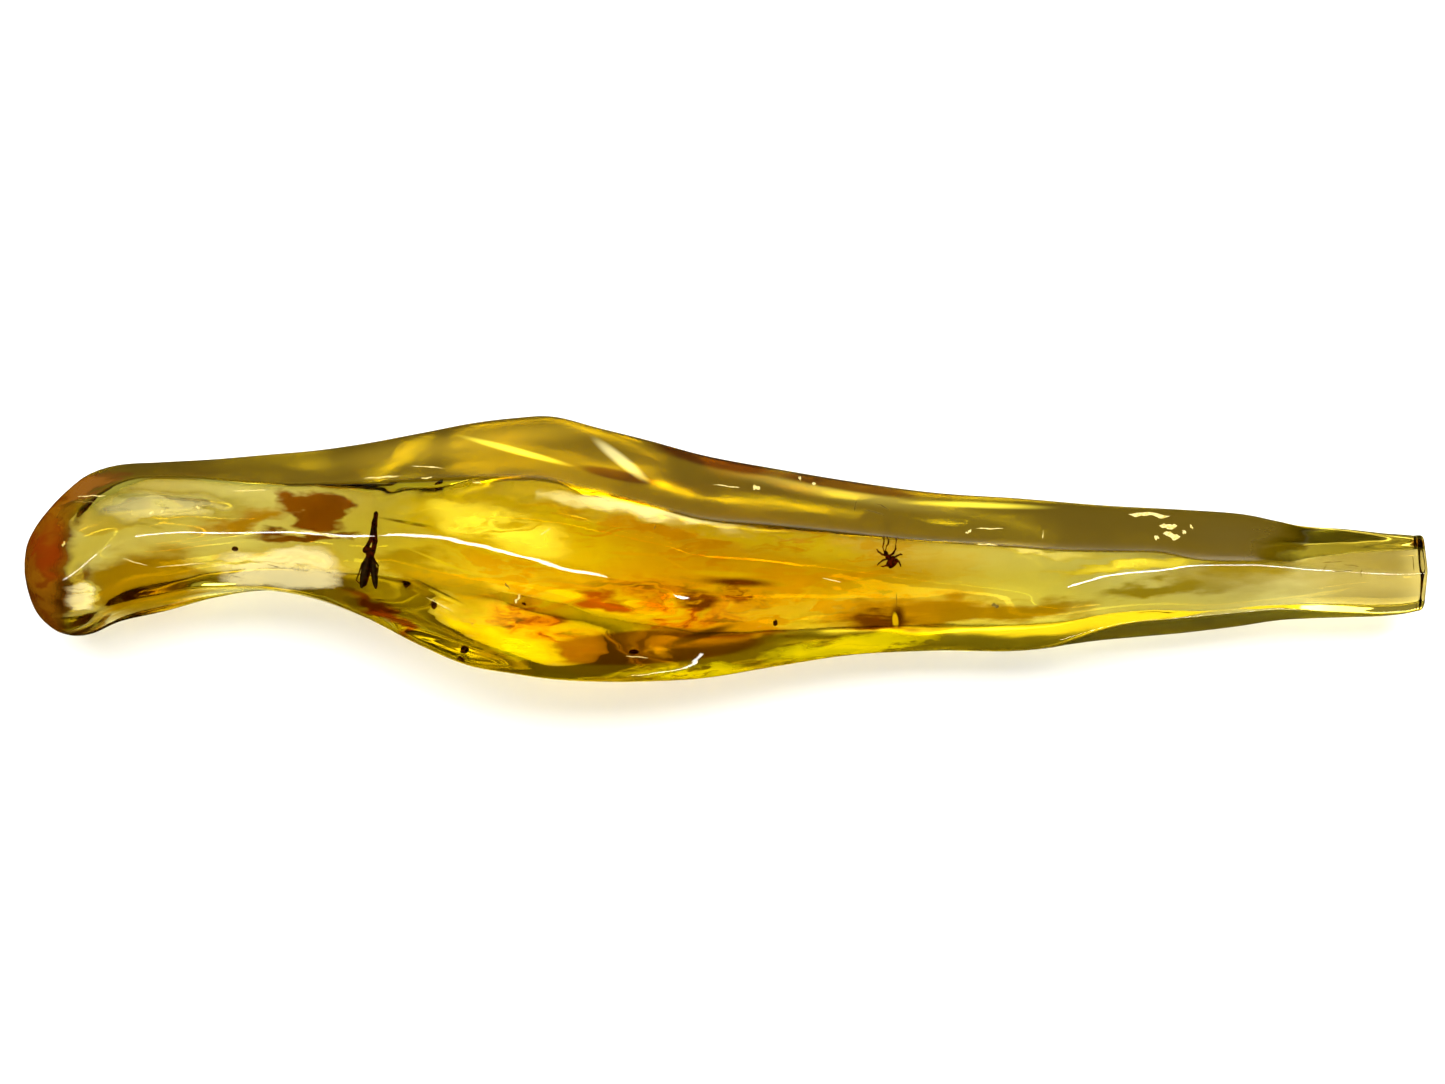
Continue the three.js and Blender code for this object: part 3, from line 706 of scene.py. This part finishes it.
gnat = bmesh.new()
lump(gnat, (0, 0, 0.02), (0.34, 0.44, 0.36))
lump(gnat, (-0.36, 0.2, 0.02), (0.2, 0.2, 0.19))
lump(gnat, (-0.44, 0.26, 0.13), (0.11, 0.13, 0.1))
lump(gnat, (-0.44, 0.26, -0.09), (0.11, 0.13, 0.1))
lump(gnat, (-0.22, -1.2, 0), (0.27, 1.25, 0.25), -13, ABDOMEN_RINGS)
for joints in STALK:
    limb(gnat, joints, 0.15, 0.13)
for joints in HIND_LEGS:
    limb(gnat, joints, 0.085, 0.035)
gnat_cuticle = cuticle("gnat_cuticle", "#1c0502", "#4a1206", 0.45)
gnat = placed_insect(gnat, "gnat_body", GNAT_PLACE, gnat_cuticle)
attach(gnat, "root")
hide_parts("winged_gnat")

wings = bmesh.new()
wing(wings, (-0.2, -0.35, 0.32), 2.3, 0.3, -14, 0.08)
wing(wings, (0.16, -0.3, 0.28), 2.3, 0.26, 5, 0.08)
folded_wings = cuticle("folded_wings", "#120402", "#2c1006", 0.4)
wings = placed_insect(wings, "gnat_wings", GNAT_PLACE, folded_wings)
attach(wings, "root")


# The beetle. A small beetle lies half turned with its legs spread, its two hard wing cases closed
# over its back with a seam between them. Its shell is red-brown and slightly glossy.
BEETLE_PLACE = Vector((11.5, -0.35, 5.8))
BEETLE_TURN = -38
SIX_LEGS = [
    [(-0.1, 0.2, 0), (-0.5, 0.28, 0.2), (-0.78, 0.45, 0.05), (-0.88, 0.58, 0)],
    [(-0.1, 0, 0), (-0.45, -0.12, 0.2), (-0.74, -0.34, 0.05), (-0.84, -0.46, 0)],
    [(0.05, -0.25, 0), (-0.2, -0.52, 0.2), (-0.44, -0.58, 0.05), (-0.56, -0.56, 0)],
    [(0.02, 0.2, 0), (0.3, 0.36, 0.2), (0.46, 0.6, 0.05), (0.46, 0.72, 0)],
    [(0.15, 0, 0), (0.5, 0.15, 0.2), (0.8, 0.3, 0.05), (0.92, 0.28, 0)],
    [(0.35, -0.15, 0), (0.68, -0.2, 0.2), (0.82, -0.46, 0.05), (0.84, -0.58, 0)],
]
FEELERS = [
    [(-0.28, 0.46, 0.02), (-0.2, 0.72, 0.06), (-0.08, 0.82, 0.06), (0.02, 0.86, 0.06)],
    [(-0.36, 0.44, 0.02), (-0.46, 0.7, 0.06), (-0.42, 0.82, 0.06), (-0.36, 0.9, 0.06)],
]
HEAD = Vector((-0.24, 0.33, 0.02))
EYE_RADIUS = 0.06

beetle = bmesh.new()
for side in (-1, 1):
    aside = Matrix.Rotation(math.radians(BEETLE_TURN), 3, "Z") @ Vector((0.13 * side, 0, 0))
    lump(beetle, Vector((0.2, -0.27, 0.02)) + aside, (0.23, 0.47, 0.27), BEETLE_TURN - 5 * side)
lump(beetle, (0.18, -0.24, -0.06), (0.3, 0.4, 0.2), BEETLE_TURN, 5)
lump(beetle, (-0.06, 0.09, 0.03), (0.24, 0.2, 0.2), BEETLE_TURN)
lump(beetle, HEAD, (0.15, 0.17, 0.14), BEETLE_TURN)
for side in (-1, 1):
    aside = Matrix.Rotation(math.radians(BEETLE_TURN), 3, "Z") @ Vector((0.13 * side, 0.06, 0.04))
    eye = Matrix.Translation(HEAD + aside)
    bmesh.ops.create_icosphere(beetle, subdivisions=2, radius=EYE_RADIUS, matrix=eye)
for joints in SIX_LEGS:
    limb(beetle, joints, 0.085, 0.045)
for joints in FEELERS:
    limb(beetle, joints, 0.035, 0.05)
beetle_shell = cuticle("beetle_shell", "#2e0a04", "#6a1f0a", 0.3)
beetle = placed_insect(beetle, "beetle_body", BEETLE_PLACE, beetle_shell)
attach(beetle, "root")
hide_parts("small_beetle")


# The bark crumbs. Bits of bark and insect dust that stuck to the resin while it ran, each broken
# along its grain: dark brown, matt and rough.
CRUMBS = ["neck", "shoulder", "crest", "rim", "seed", "belly", "middle"]
CRUMB_ROUGHNESS = 0.24

bark, nodes = new_material("broken_bark")
spot = add(nodes, "ShaderNodeTexCoord").outputs["Object"]
grain = drawn_noise(nodes, spot, (3000, 9000, 9000), Detail=4.0)
colour = add(nodes, "ShaderNodeMixRGB", {"Fac": eased(nodes, grain.outputs["Fac"], 0.35, 0.7)},
             Color1=linear("#1d0b04"), Color2=linear("#5c3413"))
ridges = add(nodes, "ShaderNodeBump", {"Height": grain.outputs["Fac"]}, Strength=0.8, Distance=0.00003)
fibre = add(nodes, "ShaderNodeBsdfPrincipled",
            {"Base Color": colour.outputs[0], "Normal": ridges.outputs[0]},
            Roughness=0.85, Specular_IOR_Level=SEALED_GLOSS)
add(nodes, "ShaderNodeOutputMaterial", {"Surface": fibre.outputs["BSDF"]})

for name in CRUMBS:
    node = f"bark_crumb_{name}"
    low, high = (Vector(corner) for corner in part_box(node))
    crumb = bmesh.new()
    bmesh.ops.create_icosphere(crumb, subdivisions=4, radius=1)
    for corner in crumb.verts:
        seed = corner.co * 1.6 + low * 1000
        broken = noise.noise(seed) + 0.5 * noise.noise(seed * 2.3) + 0.25 * noise.noise(seed * 5.1)
        corner.co *= 1 + CRUMB_ROUGHNESS * broken
    reach = [max(abs(corner.co[axis]) for corner in crumb.verts) for axis in range(3)]
    halves = [(high - low)[axis] / 2 / reach[axis] for axis in range(3)]
    fitted = Matrix.Translation((low + high) / 2) @ Matrix.Diagonal((*halves, 1))
    bmesh.ops.transform(crumb, matrix=fitted, verts=crumb.verts)
    crumb = finished(crumb, f"crumb_{name}", bark)
    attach(crumb, "root")
    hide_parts(node)
